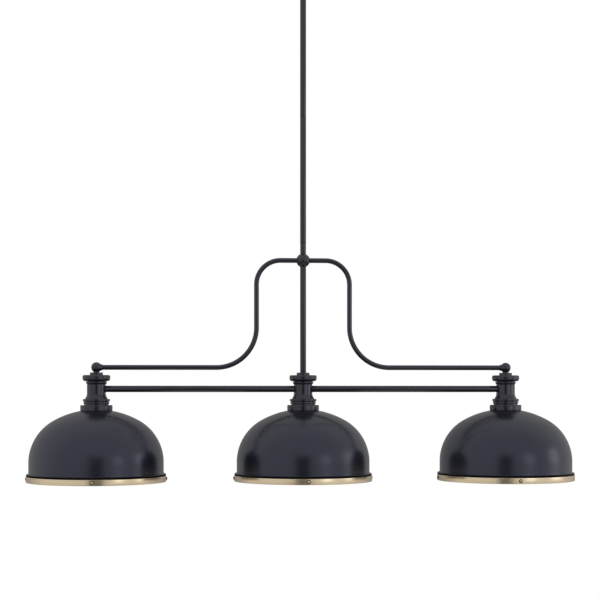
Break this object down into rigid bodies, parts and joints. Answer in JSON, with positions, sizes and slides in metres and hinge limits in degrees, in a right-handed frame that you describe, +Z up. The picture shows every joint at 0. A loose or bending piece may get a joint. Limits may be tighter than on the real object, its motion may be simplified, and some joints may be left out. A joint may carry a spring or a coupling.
{
  "type": "linear island pendant",
  "caption": "Ceiling pendant with a straight stem, bent side arms and a crossbar that carries a row of dome shades with brass rims.",
  "frame": {"origin": "on the ceiling plane, on the stem's centre line", "axes": "+Z up, the row of shades along X, the front towards -Y"},
  "size_m": [1.328, 0.338, 1.259],
  "materials": {
    "dark_paint": "satin charcoal powder coat with a faint bronze cast",
    "shade_paint": "satin charcoal enamel over spun steel",
    "aged_brass": "brushed antique brass",
    "plated_steel": "zinc plated",
    "earth_green": "green passivated",
    "socket_body": "moulded, matte",
    "contact_brass": "plain stamped",
    "lamp_cap": "plain spun",
    "lamp_glass": "clear"
  },
  "bodies": {
    "ceiling_mount": {"canopy": "dark_paint", "mounting_bar": "plated_steel", "centre_nipple": "plated_steel", "nipple_locknut": "plated_steel", "canopy_studs": "plated_steel", "canopy_ball_nuts": "dark_paint", "earth_screw": "earth_green", "swivel_cup": "dark_paint"},
    "swivel": {"swivel_yoke": "dark_paint", "swivel_pin": "plated_steel"},
    "fixture": {"swivel_knuckle": "dark_paint", "stem_rod_upper": "dark_paint", "stem_rod_lower": "dark_paint", "stem_neck": "dark_paint", "body_stem": "dark_paint", "hub_ball": "dark_paint", "arm_left": "dark_paint", "arm_right": "dark_paint", "end_ball_left": "dark_paint", "end_ball_right": "dark_paint", "crossbar_left": "dark_paint", "crossbar_right": "dark_paint", "collar_cap_left": "dark_paint", "collar_cap_centre": "dark_paint", "collar_cap_right": "dark_paint", "barrel_left": "dark_paint", "barrel_centre": "dark_paint", "barrel_right": "dark_paint", "collar_ring_left": "dark_paint", "collar_ring_centre": "dark_paint", "collar_ring_right": "dark_paint", "shade_holder_left": "dark_paint", "shade_holder_centre": "dark_paint", "shade_holder_right": "dark_paint", "shade_left": "shade_paint", "shade_centre": "shade_paint", "shade_right": "shade_paint", "rim_band_left": "aged_brass", "rim_band_centre": "aged_brass", "rim_band_right": "aged_brass", "rim_screws_left": "aged_brass", "rim_screws_centre": "aged_brass", "rim_screws_right": "aged_brass", "stem_nipples": "plated_steel", "stack_nipples": "plated_steel", "crossbar_nipples": "plated_steel", "shade_ring_nuts": "plated_steel", "lamp_socket_left": "socket_body", "lamp_socket_centre": "socket_body", "lamp_socket_right": "socket_body", "screw_shells": "contact_brass", "centre_contacts": "contact_brass", "bulb_bases": "lamp_cap", "bulbs": "lamp_glass"}
  },
  "joints": [
    {"name": "swivel_turn", "type": "hinge", "parent": "ceiling_mount", "child": "swivel", "pos_m": [0, 0, -0.041], "axis": [0, 0, 1], "range_deg": [-170, 170]},
    {"name": "swivel_tilt", "type": "hinge", "parent": "swivel", "child": "fixture", "pos_m": [0, 0, -0.056], "axis": [1, 0, 0], "range_deg": [-45, 45]}
  ]
}
